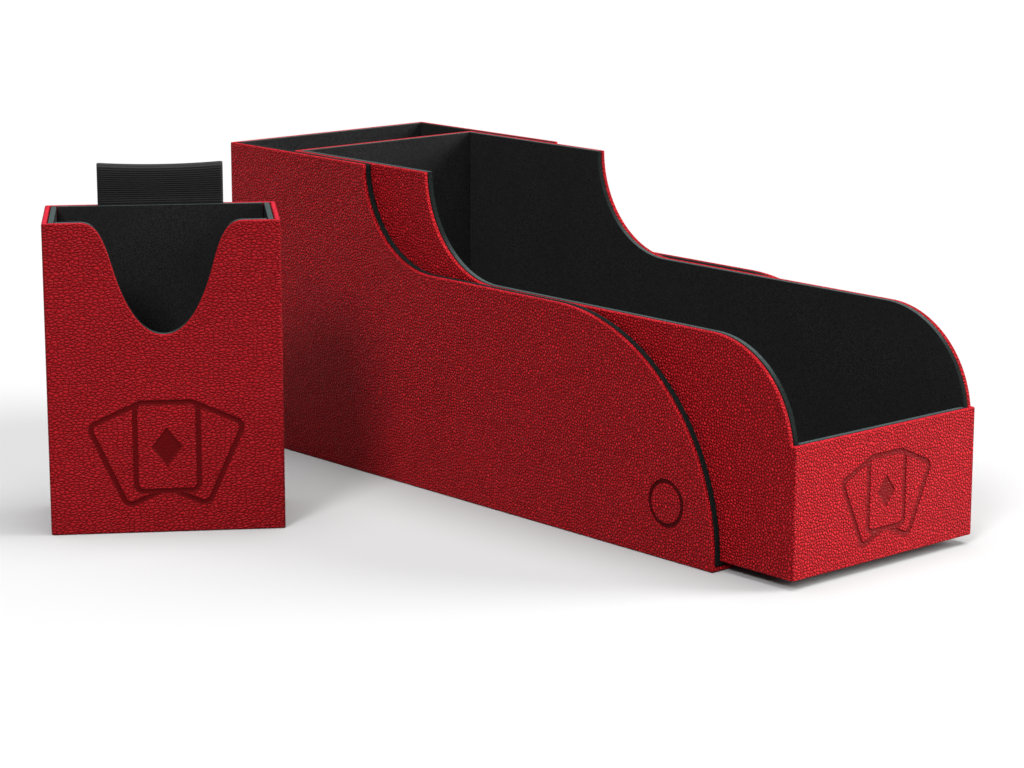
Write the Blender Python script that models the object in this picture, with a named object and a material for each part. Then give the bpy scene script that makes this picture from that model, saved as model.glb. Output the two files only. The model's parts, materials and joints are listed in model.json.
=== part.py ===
"""Card deck box: an open storage box for a row of sleeved cards, with a lift-out card tray beside it.

Metres, +Z up. X is the box's width, -Y its front, and the origin is the centre of the box's underside.

The box is two open boxes of wrapped board, one inside the other. The outer shell makes the back and the
lower half, and the trough that holds the cards slides into it and stands out in front. Every wall is an
outer board wrapped in leatherette and a black liner board glued to its inside. The tray is a third,
smaller box of the same build, with a finger notch in front and a loop of elastic at the back.
"""

from math import asin, cos, degrees, pi, radians, sin

import bmesh
import bpy
from mathutils import Matrix, Vector

# --- Driving dimensions -----------------------------------------------------------------------------

GAP = 0.0003  # glue line or running clearance between neighbouring pieces

# Boards of the shell and the trough
BOARD = 0.0014  # wrapped outer board
LINER = 0.0017  # black liner board
BASE_LINER = 0.0010  # thinner liner under the trough

# Shell
SHELL_WIDTH = 0.0910
HEIGHT = 0.1095
BOX_LENGTH = 0.2804  # from the shell's back to the trough's front
SHELL_LENGTH = 0.2499

# The shell's side, seen from the side: heights along Z, places along Y
SHOULDER_HEIGHT = 0.0752  # low middle part of the side
SHELL_NOSE_RADIUS = 0.0724  # convex front edge
SHELL_SCOOP_LENGTH = 0.0355  # concave edge behind the low part, a quarter of an ellipse
SHELL_SCOOP_BACK = 0.0622  # where that edge reaches the top

# The trough's side
FRONT_HEIGHT = 0.0450  # top of the front panel
TROUGH_SHOULDER_HEIGHT = 0.0749
TROUGH_SCOOP_RADIUS = 0.0346
TROUGH_SCOOP_BACK = 0.0332
TROUGH_NOSE_RADIUS = 0.0342  # convex front edge, which ends behind the front panel
REAR_BAY = 0.0300  # clear space between the shell's back and the trough's back

# Ring pressed into each side of the shell, over a hidden disc magnet
RING_PLACE = (-0.0888, 0.0182)  # its centre along Y and Z
RING_RADIUS = 0.0077
RING_LINE = 0.0012
RING_DEPTH = 0.0003
MAGNET_RADIUS = 0.0060
MAGNET_THICKNESS = 0.0010

# Tray
TRAY_WIDTH = 0.0760
TRAY_DEPTH = 0.0400
TRAY_HEIGHT = 0.1022
TRAY_BOARD = 0.0018
TRAY_LINER = 0.0018
TRAY_PLACE = (-0.14365, 0.0421)  # middle of its front face, on the ground
TRAY_TURN = radians(-34.33)

# Finger notch in the tray's front: heights from the ground, half widths from the middle
NOTCH_FLOOR = 0.0654
NOTCH_WAIST = (0.0158, 0.0870)  # point on its steep side
NOTCH_LEAN = 0.28  # outwards for each unit upwards, at that point
NOTCH_HALF_WIDTH = 0.0258  # where the rounded shoulder meets the rim

# Lengths of the curve's handles, from the rim down to the notch's floor
RIM_HANDLE = 0.0058
WAIST_HANDLE_UP = 0.0085
WAIST_HANDLE_DOWN = 0.0105
FLOOR_HANDLE = 0.0080

# Elastic pull loop
LOOP_WIDTH = 0.0414
LOOP_HEIGHT = 0.0130  # from its fold line to its top
LOOP_THICKNESS = 0.0036  # across its rounded end, outside
RIBBON = 0.0007
LAYERS_PART = 0.0015  # height over the fold line where the ribbon's two layers part
LOOP_NECK = 0.0012  # height of the fold line over the rim
TAIL_LENGTH = 0.0220  # glued between the tray's back board and its liner

ARC_STEPS = 40  # straight stretches in a quarter of a turn
SMALL_ARC_STEPS = 10
CURVE_STEPS = 20  # straight stretches in one Bezier stretch
CIRCLE_STEPS = 64

# --- Places worked out from the above -----------------------------------------------------------------

BACK = BOX_LENGTH / 2
FRONT = -BOX_LENGTH / 2
SHELL_FRONT = BACK - SHELL_LENGTH
SHELL_X = SHELL_WIDTH / 2
SHELL_LINER_X = SHELL_X - BOARD - GAP
TROUGH_X = SHELL_LINER_X - LINER - GAP
TROUGH_LINER_X = TROUGH_X - BOARD - GAP
TROUGH_INNER_X = TROUGH_LINER_X - LINER

TROUGH_Z = BOARD + GAP + BASE_LINER + GAP  # underside of the trough's floor
TROUGH_LINER_Z = TROUGH_Z + BOARD + GAP
TROUGH_BACK = BACK - BOARD - GAP - LINER - REAR_BAY
TROUGH_SIDE_FRONT = FRONT + BOARD + GAP

LINER_OF_TRAY = TRAY_BOARD + GAP  # from an outer face of the tray to its liner's outer face
FOLD_LINE_Z = TRAY_HEIGHT + LOOP_NECK
TAIL_THICKNESS = 2 * RIBBON
TAIL_Y = TRAY_DEPTH - TRAY_BOARD - GAP / 2  # middle of the glue line in the tray's back wall

# --- Materials ------------------------------------------------------------------------------------------


def material(name, colour, roughness, metallic=0.0):
    made = bpy.data.materials.new(name)
    made.use_nodes = True
    made.diffuse_color = (*colour, 1.0)
    shader = made.node_tree.nodes["Principled BSDF"]
    shader.inputs["Base Color"].default_value = (*colour, 1.0)
    shader.inputs["Roughness"].default_value = roughness
    shader.inputs["Metallic"].default_value = metallic
    return made


def red_leatherette():
    return material("red_leatherette", (0.35, 0.012, 0.02), 0.55)


def black_liner():
    return material("black_liner", (0.016, 0.017, 0.018), 0.85)


def black_elastic():
    return material("black_elastic", (0.012, 0.012, 0.013), 0.8)


def nickel_plating():
    return material("nickel_plating", (0.6, 0.58, 0.55), 0.25, 1.0)


# --- Shapes -----------------------------------------------------------------------------------------------


def clear_scene():
    for obj in list(bpy.data.objects):
        bpy.data.objects.remove(obj, do_unlink=True)


def collection(name):
    made = bpy.data.collections.new(name)
    bpy.context.scene.collection.children.link(made)
    return made


def add(name, mesh, look, place=None):
    """A new object in the parts' collection. place is its matrix, or None for the world's own frame."""
    obj = bpy.data.objects.new(name, mesh)
    mesh.materials.append(look)
    parts.objects.link(obj)
    if place is not None:
        obj.matrix_world = place
    return obj


def box(name, low, high, look, place=None):
    """A plain board: a cuboid between two opposite corners."""
    mesh = bpy.data.meshes.new(name)
    bm = bmesh.new()
    bmesh.ops.create_cube(bm, size=1.0)
    size = [b - a for a, b in zip(low, high)]
    middle = [(a + b) / 2 for a, b in zip(low, high)]
    bmesh.ops.scale(bm, vec=size, verts=bm.verts)
    bmesh.ops.translate(bm, vec=middle, verts=bm.verts)
    bm.to_mesh(mesh)
    bm.free()
    return add(name, mesh, look, place)


def outline_mesh(name, loops, thickness, matrix):
    """A flat plate from closed outlines in the plane of matrix's X and Y, thickness along its Z."""
    curve = bpy.data.curves.new(name, "CURVE")
    curve.dimensions = "2D"
    curve.fill_mode = "BOTH"
    curve.extrude = thickness / 2
    for loop in loops:
        spline = curve.splines.new("POLY")
        spline.points.add(len(loop) - 1)
        for point, (u, v) in zip(spline.points, loop):
            point.co = (u, v, 0.0, 1.0)
        spline.use_cyclic_u = True
    drawn = bpy.data.objects.new(name + "_outline", curve)
    parts.objects.link(drawn)
    graph = bpy.context.evaluated_depsgraph_get()
    mesh = bpy.data.meshes.new_from_object(drawn.evaluated_get(graph))
    bpy.data.objects.remove(drawn, do_unlink=True)
    bm = bmesh.new()
    bm.from_mesh(mesh)
    bmesh.ops.remove_doubles(bm, verts=bm.verts, dist=1e-6)
    bmesh.ops.transform(bm, matrix=matrix, verts=bm.verts)
    bmesh.ops.recalc_face_normals(bm, faces=bm.faces)
    bm.to_mesh(mesh)
    bm.free()
    return mesh


def arc(centre, radii, start, end, quarter_steps=ARC_STEPS):
    """Points on an ellipse's arc, both ends included. Angles are in degrees, counted from +u towards +v."""
    steps = max(2, round(quarter_steps * abs(end - start) / 90))
    angles = [radians(start + (end - start) * i / steps) for i in range(steps + 1)]
    return [(centre[0] + radii[0] * cos(a), centre[1] + radii[1] * sin(a)) for a in angles]


def circle(centre, radius):
    """Evenly spaced points right round a circle."""
    angles = [2 * pi * i / CIRCLE_STEPS for i in range(CIRCLE_STEPS)]
    return [(centre[0] + radius * cos(a), centre[1] + radius * sin(a)) for a in angles]


def bezier(start, start_handle, end_handle, end):
    """Points on one Bezier stretch, its start left out and its end included."""
    points = []
    for i in range(1, CURVE_STEPS + 1):
        t = i / CURVE_STEPS
        weights = ((1 - t) ** 3, 3 * t * (1 - t) ** 2, 3 * t * t * (1 - t), t**3)
        knots = (start, start_handle, end_handle, end)
        points.append(tuple(sum(w * k[axis] for w, k in zip(weights, knots)) for axis in (0, 1)))
    return points


def across_x(x):
    """The plane of Y and Z at this X, for a plate whose thickness lies along X."""
    return Matrix(((0, 0, 1, x), (1, 0, 0, 0), (0, 1, 0, 0), (0, 0, 0, 1)))


def across_y(y):
    """The plane of X and Z at this Y, for a plate whose thickness lies along Y."""
    return Matrix(((1, 0, 0, 0), (0, 0, -1, y), (0, 1, 0, 0), (0, 0, 0, 1)))


def side_board(name, outline, outer_x, thickness, side, look):
    """An upright board along the left side (side -1) or the right side (side +1)."""
    middle = side * (outer_x - thickness / 2)
    return add(name, outline_mesh(name, [outline], thickness, across_x(middle)), look)


def cut(obj, name, mesh):
    """Takes mesh away from obj. The cutter stays in the scene as a hidden wire frame."""
    cutter = bpy.data.objects.new(name, mesh)
    cutters.objects.link(cutter)
    cutter.hide_render = True
    cutter.display_type = "WIRE"
    cutter.matrix_world = obj.matrix_world
    modifier = obj.modifiers.new(name, "BOOLEAN")
    modifier.operation = "DIFFERENCE"
    modifier.solver = "EXACT"
    modifier.object = cutter


# --- Side outlines of the box, as (y, z) -----------------------------------------------------------------


def shell_side_outline(low, back):
    """Low shoulder in the middle, round nose in front, scoop up to full height behind."""
    nose = (SHELL_FRONT + SHELL_NOSE_RADIUS, SHOULDER_HEIGHT - SHELL_NOSE_RADIUS)
    scoop = (SHELL_SCOOP_BACK - SHELL_SCOOP_LENGTH, HEIGHT)
    return (
        [(back, low), (SHELL_FRONT, low)]
        + arc(nose, (SHELL_NOSE_RADIUS, SHELL_NOSE_RADIUS), 180, 90)
        + arc(scoop, (SHELL_SCOOP_LENGTH, HEIGHT - SHOULDER_HEIGHT), 270, 360)
        + [(back, HEIGHT)]
    )


def trough_side_outline(low, back):
    """Full height behind, a scoop down to the shoulder, and a round nose down to the front panel."""
    nose = (TROUGH_SIDE_FRONT + TROUGH_NOSE_RADIUS, TROUGH_SHOULDER_HEIGHT - TROUGH_NOSE_RADIUS)
    scoop = (TROUGH_SCOOP_BACK - TROUGH_SCOOP_RADIUS, HEIGHT)
    scoop_depth = HEIGHT - TROUGH_SHOULDER_HEIGHT
    return (
        [(back, low), (TROUGH_SIDE_FRONT, low)]
        + arc(nose, (TROUGH_NOSE_RADIUS, TROUGH_NOSE_RADIUS), 180, 90)
        + arc(scoop, (TROUGH_SCOOP_RADIUS, scoop_depth), 270, 360)
        + [(back, HEIGHT)]
    )


# --- Shell ----------------------------------------------------------------------------------------------


def ring_mesh(name, side):
    """The pressed ring's groove, sunk into the side's outer face."""
    inner = RING_RADIUS - RING_LINE
    loops = [circle(RING_PLACE, radius) for radius in (RING_RADIUS, inner)]
    reach = 2 * RING_DEPTH  # half of the cutter stands outside the board
    return outline_mesh(name, loops, reach, across_x(side * SHELL_X))


def disc(name, x, radius, thickness):
    """A round plate behind the ring, its middle at this X."""
    return outline_mesh(name, [circle(RING_PLACE, radius)], thickness, across_x(x))


def build_shell(red, black, nickel):
    inner_z = BOARD + GAP
    inner_back = BACK - BOARD - GAP
    between_sides = SHELL_X - BOARD - GAP
    between_liners = SHELL_LINER_X - LINER - GAP

    box("shell_bottom", (-between_sides, SHELL_FRONT, 0), (between_sides, inner_back, BOARD), red)
    box("shell_back", (-between_sides, BACK - BOARD, 0), (between_sides, BACK, HEIGHT), red)
    box(
        "shell_bottom_liner",
        (-between_liners, SHELL_FRONT, inner_z),
        (between_liners, inner_back - LINER - GAP, inner_z + BASE_LINER),
        black,
    )
    box(
        "shell_back_liner",
        (-between_liners, inner_back - LINER, inner_z),
        (between_liners, inner_back, HEIGHT),
        black,
    )

    for hand, side in (("left", -1), ("right", 1)):
        name = "shell_side_" + hand
        board = side_board(name, shell_side_outline(0, BACK), SHELL_X, BOARD, side, red)
        cut(board, "ring_cutter_" + hand, ring_mesh("ring_cutter_" + hand, side))

        name = "shell_liner_" + hand
        outline = shell_side_outline(inner_z, inner_back)
        liner = side_board(name, outline, SHELL_LINER_X, LINER, side, black)
        magnet_x = side * (SHELL_LINER_X - MAGNET_THICKNESS / 2)
        pocket = disc("magnet_pocket_" + hand, magnet_x, MAGNET_RADIUS + GAP, MAGNET_THICKNESS + 2 * GAP)
        cut(liner, "magnet_pocket_" + hand, pocket)
        magnet = disc("magnet_" + hand, magnet_x, MAGNET_RADIUS, MAGNET_THICKNESS)
        add("magnet_" + hand, magnet, nickel)


# --- Trough ---------------------------------------------------------------------------------------------


def build_trough(red, black):
    between_sides = TROUGH_X - BOARD - GAP
    between_liners = TROUGH_INNER_X - GAP
    inner_back = TROUGH_BACK - BOARD - GAP
    liner_front = TROUGH_SIDE_FRONT + LINER + GAP
    liner_back = inner_back - LINER - GAP

    box("trough_front", (-TROUGH_X, FRONT, TROUGH_Z), (TROUGH_X, FRONT + BOARD, FRONT_HEIGHT), red)
    box(
        "trough_back",
        (-between_sides, TROUGH_BACK - BOARD, TROUGH_Z),
        (between_sides, TROUGH_BACK, HEIGHT),
        red,
    )
    box(
        "trough_floor",
        (-between_sides, TROUGH_SIDE_FRONT, TROUGH_Z),
        (between_sides, inner_back, TROUGH_Z + BOARD),
        red,
    )
    box(
        "trough_front_liner",
        (-between_liners, TROUGH_SIDE_FRONT, TROUGH_LINER_Z),
        (between_liners, TROUGH_SIDE_FRONT + LINER, FRONT_HEIGHT),
        black,
    )
    box(
        "trough_back_liner",
        (-between_liners, inner_back - LINER, TROUGH_LINER_Z),
        (between_liners, inner_back, HEIGHT),
        black,
    )
    box(
        "trough_floor_liner",
        (-between_liners, liner_front, TROUGH_LINER_Z),
        (between_liners, liner_back, TROUGH_LINER_Z + LINER),
        black,
    )

    for hand, side in (("left", -1), ("right", 1)):
        outline = trough_side_outline(TROUGH_Z, TROUGH_BACK)
        side_board("trough_side_" + hand, outline, TROUGH_X, BOARD, side, red)
        outline = trough_side_outline(TROUGH_LINER_Z, inner_back)
        side_board("trough_liner_" + hand, outline, TROUGH_LINER_X, LINER, side, black)


# --- Tray -----------------------------------------------------------------------------------------------


def notched_outline(half_width, low):
    """The tray's front wall, as (x, z), with the bell-shaped finger notch in its rim."""
    waist_x, waist_z = NOTCH_WAIST
    lean = Vector((NOTCH_LEAN, 1.0)).normalized()
    up = lean * WAIST_HANDLE_UP
    down = lean * WAIST_HANDLE_DOWN
    rim = [(NOTCH_HALF_WIDTH, TRAY_HEIGHT)]
    rim += bezier(
        rim[0],
        (NOTCH_HALF_WIDTH - RIM_HANDLE, TRAY_HEIGHT),
        (waist_x + up.x, waist_z + up.y),
        (waist_x, waist_z),
    )
    rim += bezier(
        (waist_x, waist_z),
        (waist_x - down.x, waist_z - down.y),
        (FLOOR_HANDLE, NOTCH_FLOOR),
        (0.0, NOTCH_FLOOR),
    )
    mirrored = [(-x, z) for x, z in reversed(rim[:-1])]
    corners = [(-half_width, TRAY_HEIGHT), (-half_width, low), (half_width, low), (half_width, TRAY_HEIGHT)]
    return rim + mirrored + corners


def loop_outlines():
    """Elastic folded into a drop shape, outside and inside, as (y, z) from the fold line.

    It hangs from the fold line by a half-round root, widens on straight flanks and closes in a half circle.
    """

    def drop(top_radius, root_radius, middle):
        turn = degrees(asin((top_radius - root_radius) / middle))
        top = arc((0, middle), (top_radius, top_radius), -turn, 180 + turn, SMALL_ARC_STEPS)
        root = arc((0, 0), (root_radius, root_radius), 180 + turn, 360 - turn, SMALL_ARC_STEPS)
        return top + root

    radius = LOOP_THICKNESS / 2
    middle = LOOP_HEIGHT - radius
    outside = drop(radius, RIBBON, middle)
    tip = radius - RIBBON
    turn = degrees(asin(tip / (middle - LAYERS_PART)))
    inside = arc((0, middle), (tip, tip), -turn, 180 + turn, SMALL_ARC_STEPS)
    inside.append((0, LAYERS_PART))
    return outside, inside


def build_tray(red, black, elastic):
    place = Matrix.Translation((*TRAY_PLACE, 0)) @ Matrix.Rotation(TRAY_TURN, 4, "Z")
    half = TRAY_WIDTH / 2
    inside_board = half - LINER_OF_TRAY
    inside_liner = inside_board - TRAY_LINER
    liner_z = LINER_OF_TRAY
    rear = TRAY_DEPTH - LINER_OF_TRAY

    def plate(name, outline, y, thickness, look):
        return add(name, outline_mesh(name, [outline], thickness, across_y(y)), look, place)

    # Red boards: the front and back cover the ends of the sides, and all stand round the bottom.
    plate("tray_front", notched_outline(half, 0), TRAY_BOARD / 2, TRAY_BOARD, red)
    back = box("tray_back", (-half, TRAY_DEPTH - TRAY_BOARD, 0), (half, TRAY_DEPTH, TRAY_HEIGHT), red, place)
    box("tray_bottom", (-inside_board, LINER_OF_TRAY, 0), (inside_board, rear, TRAY_BOARD), red, place)
    for hand, side in (("left", -1), ("right", 1)):
        xs = sorted((side * half, side * (half - TRAY_BOARD)))
        low = (xs[0], LINER_OF_TRAY, 0)
        box("tray_side_" + hand, low, (xs[1], rear, TRAY_HEIGHT), red, place)

    # Liners: the sides run from front to back, and the others fit between them.
    between = inside_liner - GAP
    outline = notched_outline(between, liner_z)
    plate("tray_front_liner", outline, LINER_OF_TRAY + TRAY_LINER / 2, TRAY_LINER, black)
    back_liner = box(
        "tray_back_liner",
        (-between, rear - TRAY_LINER, liner_z),
        (between, rear, TRAY_HEIGHT),
        black,
        place,
    )
    inset = LINER_OF_TRAY + TRAY_LINER + GAP
    low = (-between, inset, liner_z)
    box("tray_bottom_liner", low, (between, TRAY_DEPTH - inset, liner_z + TRAY_LINER), black, place)
    for hand, side in (("left", -1), ("right", 1)):
        xs = sorted((side * inside_board, side * inside_liner))
        low = (xs[0], LINER_OF_TRAY, liner_z)
        box("tray_liner_" + hand, low, (xs[1], rear, TRAY_HEIGHT), black, place)

    # The elastic's two ends lie in a recess shared by the back board and its liner.
    half_loop = LOOP_WIDTH / 2
    half_tail = TAIL_THICKNESS / 2
    tail_low = TRAY_HEIGHT - TAIL_LENGTH
    room = GAP + half_tail
    for wall, hand in ((back, "board"), (back_liner, "liner")):
        name = "tail_recess_" + hand
        mesh = recess_mesh(name, half_loop + GAP, TAIL_Y - room, TAIL_Y + room, tail_low - GAP)
        cut(wall, name, mesh)
    tail_top = FOLD_LINE_Z - RIBBON - GAP
    box(
        "pull_loop_tail",
        (-half_loop, TAIL_Y - half_tail, tail_low),
        (half_loop, TAIL_Y + half_tail, tail_top),
        elastic,
        place,
    )
    hinge = place @ Matrix.Translation((0, TAIL_Y, FOLD_LINE_Z))
    mesh = outline_mesh("pull_loop", loop_outlines(), LOOP_WIDTH, across_x(0))
    add("pull_loop", mesh, elastic, hinge)


def recess_mesh(name, half_width, y_low, y_high, z_low):
    """A cutter for the recess: it runs up past the tray's rim."""
    corners = [(-half_width, z_low), (half_width, z_low)]
    corners += [(half_width, TRAY_HEIGHT + BOARD), (-half_width, TRAY_HEIGHT + BOARD)]
    return outline_mesh(name, [corners], y_high - y_low, across_y((y_low + y_high) / 2))


# --- Build ----------------------------------------------------------------------------------------------

clear_scene()
parts = collection("card_deck_box")
cutters = collection("cutters")

leatherette = red_leatherette()
liner_paper = black_liner()
build_shell(leatherette, liner_paper, nickel_plating())
build_trough(leatherette, liner_paper)
build_tray(leatherette, liner_paper, black_elastic())
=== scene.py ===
"""Looks of the card deck box: red leatherette wraps, black liners, a ribbed elastic loop and studio light.

Metres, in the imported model's frame. The red boards are wrapped corner to corner, so those of the shell, of
the trough and of the tray each become one continuous piece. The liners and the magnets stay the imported
nodes, with softened edges, and one ribbon replaces the two nodes of the pull loop.
"""

import json
from math import atan2, ceil, cos, hypot, pi, radians, sin

import bmesh
import bpy
from mathutils import Matrix, Vector
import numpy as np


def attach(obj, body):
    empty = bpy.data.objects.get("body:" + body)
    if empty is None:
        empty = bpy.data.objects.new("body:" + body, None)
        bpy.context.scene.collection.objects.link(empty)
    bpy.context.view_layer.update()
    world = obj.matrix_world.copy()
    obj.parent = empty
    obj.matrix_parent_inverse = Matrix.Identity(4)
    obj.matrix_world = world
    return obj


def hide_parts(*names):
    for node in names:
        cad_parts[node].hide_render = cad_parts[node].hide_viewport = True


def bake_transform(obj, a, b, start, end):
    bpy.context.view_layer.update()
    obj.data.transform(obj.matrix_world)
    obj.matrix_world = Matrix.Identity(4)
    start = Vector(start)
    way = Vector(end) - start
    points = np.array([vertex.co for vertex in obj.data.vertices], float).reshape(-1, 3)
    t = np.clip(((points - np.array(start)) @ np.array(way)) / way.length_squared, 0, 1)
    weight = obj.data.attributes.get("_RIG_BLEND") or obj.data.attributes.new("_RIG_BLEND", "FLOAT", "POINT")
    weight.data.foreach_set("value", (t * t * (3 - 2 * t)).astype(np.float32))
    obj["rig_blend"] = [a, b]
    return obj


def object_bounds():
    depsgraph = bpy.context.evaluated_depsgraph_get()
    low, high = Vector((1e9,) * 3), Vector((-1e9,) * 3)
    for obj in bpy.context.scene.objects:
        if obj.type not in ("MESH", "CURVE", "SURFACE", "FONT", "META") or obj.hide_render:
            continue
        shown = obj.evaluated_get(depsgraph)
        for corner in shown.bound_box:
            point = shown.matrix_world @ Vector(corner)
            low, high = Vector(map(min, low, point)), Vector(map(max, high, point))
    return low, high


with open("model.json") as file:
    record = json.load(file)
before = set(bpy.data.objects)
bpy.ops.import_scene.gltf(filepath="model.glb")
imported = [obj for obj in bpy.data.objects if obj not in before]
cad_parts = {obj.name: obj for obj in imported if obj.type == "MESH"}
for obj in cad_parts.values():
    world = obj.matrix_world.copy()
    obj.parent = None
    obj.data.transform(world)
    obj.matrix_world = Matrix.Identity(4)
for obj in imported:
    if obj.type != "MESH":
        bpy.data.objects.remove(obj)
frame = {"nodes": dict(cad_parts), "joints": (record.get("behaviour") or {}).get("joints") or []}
cad_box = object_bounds()

MM = 0.001

# --- Driving values -------------------------------------------------------------------------------------

BOX_BODY = "box"
TRAY_BODY = "tray"

# Wrapped boards
REACH = 0.9 * MM  # how far a board's end runs into its neighbour, over their glue line
CORNER = 0.9 * MM  # radius of the upright outer corners
CORNER_STEPS = 5
CORNER_LENGTH = 10 * MM  # an upright edge shorter than this is no corner
EDGE = 0.42 * MM  # radius of every other wrapped edge
EDGE_STEPS = 4
RELIEF_ALONG_Y = 0.6  # share of the grain's height on a piece's front and back, which are pressed flatter

# Liners and magnets
LINER_EDGE = 0.13 * MM
MAGNET_EDGE = 0.1 * MM
# Painted highlight: a liner's cut edge that looks up is painted paler, as if lit from above.
SHELL_TOP_LIGHT = 0.05  # how much of that painted highlight the shell's liners get: little, so their cut edges stay dark
EDGE_TOP_LIGHT = 1.0

# Pressed ring and emblems
PRESS_PITCH = 0.34 * MM
PRESS_SLOPE = 0.22 * MM  # half the width of a pressed line's sloping side
RING_PITCH = 0.24 * MM
RING_LINE = 1.15 * MM
RING_DEPTH = 0.30 * MM
RING_PAST_MAGNET = 1.7 * MM  # from the magnet's radius to the ring's outer radius
RING_MARGIN = 1.2 * MM  # from there to the edge of the ring's window
EMBLEM_DEPTH = 0.26 * MM
EMBLEM_LINE = 1.50 * MM
PANEL_EMBLEM_HEIGHT = 26 * MM
PANEL_EMBLEM_RISE = 0.4 * MM  # of its middle over the panel's
PANEL_WINDOW = (23 * MM, 16.5 * MM)  # half its width and height
TRAY_EMBLEM_HEIGHT = 32 * MM
TRAY_EMBLEM_Z = 28.4 * MM
TRAY_WINDOW = (28 * MM, 20 * MM)
FAN_TILT = radians(24)
DIAMOND_SLOPE = 1.3

# Elastic
RIBBON = 0.7 * MM  # thickness, without the ribs
RIB_PITCH = 0.76 * MM
RIB_HEIGHT = 0.13 * MM
RIB_POWER = 0.7  # below 1 the ribs are broad and the valleys narrow
RIB_FADE = 1.5 * MM  # the ribs fade out over this height under the hinge
VALLEY_DEPTH = 0.04 * MM  # of a valley under the ribbon's face
INNER_VALLEY = 0.4  # how dark the painted shade in the valleys is on the inner face
SELVEDGE = 0.035  # share of half the width, along each side, in which the ribbon thins
SELVEDGE_THINNING = 0.55
TOP_SAG = 0.75 * MM  # how far the middle of the loop's top hangs under its two sides
LAYER_GAP = 0.02 * MM
NECK_RISE = 0.5 * MM  # from the hinge up to where the two layers part
FLARE_POWER = 0.8
BEND_BELOW = 0.9 * MM  # the ribbon bends from this far under the hinge
BEND_ABOVE = 2.2 * MM  # to this far over it
STEPS_ACROSS = 56
POINTS_PER_RIB = 8
TAIL_STEPS = 40
FLARE_STEPS = 60
CROWN_STEPS = 60

# Studio
FLOOR_HALF = 6.0
FLOOR_STEPS = 24
FLOOR_GAP = 0.15 * MM  # under the object
SKY_COLOUR = (0.98, 0.99, 1.0, 1)
SKY_STRENGTH = 0.25
WHITE = (1.0, 1.0, 1.0)
WARM_WHITE = (1.0, 0.99, 0.98)
CAMERA_PLACE = (-0.66605, -0.72097, 0.24946)
CAMERA_TURN = (77.7, 0.0, -41.347)
CAMERA_LENS = 102.28
CAMERA_SENSOR = 36.0

# Mesh work
GRID_DIGITS = 6  # points lie on a grid of 0.001 mm
WELD = 2e-6  # points closer than this are one
IN_PLANE = 1e-5  # points closer to a plane than this lie in it
AT_CORNER = 1e-4  # an upright edge closer than this to a corner's x and y is that corner
CUT_TOLERANCE = 1e-7  # points closer than this to a cut lie on it
SAME_WAY = 0.999  # two unit vectors whose product is over this point the same way
FLAT = radians(0.3)  # faces that meet at less than this are one flat face
SHARP = radians(35)  # faces that meet at more than this meet in an edge to round
UPRIGHT_SHARP = radians(60)  # the same, for the upright corners
LARGEST_FACE = 100  # a point's normal is that of the largest face at it


# --- Node tree shorthand --------------------------------------------------------------------------------


class Look:
    """A material and short calls that fill its node tree."""

    def __init__(self, name):
        self.material = bpy.data.materials.new(name)
        self.material.use_nodes = True
        self.tree = self.material.node_tree
        self.shader = self.tree.nodes["Principled BSDF"]
        self.place = self.node("ShaderNodeTexCoord").outputs["Object"]

    def node(self, kind, inputs=None, **settings):
        made = self.tree.nodes.new(kind)
        for name, value in settings.items():
            setattr(made, name, value)
        for key, value in (inputs or {}).items():
            self.feed(made.inputs[key], value)
        return made

    def feed(self, socket, value):
        if isinstance(value, bpy.types.NodeSocket):
            self.tree.links.new(value, socket)
        else:
            socket.default_value = value

    def math(self, operation, a, b=0.0):
        return self.node("ShaderNodeMath", {0: a, 1: b}, operation=operation).outputs[0]

    def step(self, value, low, high, out_low=0.0, out_high=1.0):
        """Value eased from out_low to out_high as it goes from low to high."""
        inputs = {"Value": value, 1: low, 2: high, 3: out_low, 4: out_high}
        made = self.node("ShaderNodeMapRange", inputs, interpolation_type="SMOOTHSTEP")
        return made.outputs["Result"]

    def noise(self, place, scale, detail=2.0, roughness=0.5):
        inputs = {"Vector": place, "Scale": scale, "Detail": detail, "Roughness": roughness}
        return self.node("ShaderNodeTexNoise", inputs).outputs["Fac"]

    def scaled(self, place, scale):
        return self.node("ShaderNodeMapping", {"Vector": place, "Scale": scale}).outputs["Vector"]

    def warped(self, place, scale, amount):
        """Places pushed about by noise, amount in the place's own unit."""
        inputs = {"Vector": place, "Scale": scale, "Detail": 2.0}
        drift = self.node("ShaderNodeTexNoise", inputs).outputs["Color"]
        centred = self.node("ShaderNodeVectorMath", {0: drift, 1: (0.5, 0.5, 0.5)}, operation="SUBTRACT")
        pushed = self.node(
            "ShaderNodeVectorMath",
            {0: centred.outputs[0], 1: (amount, amount, amount), 2: place},
            operation="MULTIPLY_ADD",
        )
        return pushed.outputs[0]

    def blend_number(self, factor, a, b):
        """Numbers a and b mixed."""
        return self.node("ShaderNodeMix", {0: factor, 2: a, 3: b}).outputs[0]

    def mix(self, factor, a, b):
        """Colours a and b mixed. Each is a colour or a socket."""
        return self.node("ShaderNodeMix", {0: factor, 6: a, 7: b}, data_type="RGBA").outputs[2]

    def bump(self, height, distance, strength=1.0, normal=None):
        inputs = {"Height": height, "Distance": distance, "Strength": strength}
        if normal is not None:
            inputs["Normal"] = normal
        return self.node("ShaderNodeBump", inputs).outputs["Normal"]

    def facing(self):
        """The parts of the direction that the surface looks in, along the piece's own axes."""
        normal = self.node("ShaderNodeTexCoord").outputs["Normal"]
        return self.node("ShaderNodeSeparateXYZ", {0: normal}).outputs

    def attribute(self, name):
        return self.node("ShaderNodeAttribute", attribute_name=name).outputs["Fac"]

    def set(self, **inputs):
        for name, value in inputs.items():
            self.feed(self.shader.inputs[name.replace("_", " ")], value)
        return self.material


# --- Materials ------------------------------------------------------------------------------------------


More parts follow.
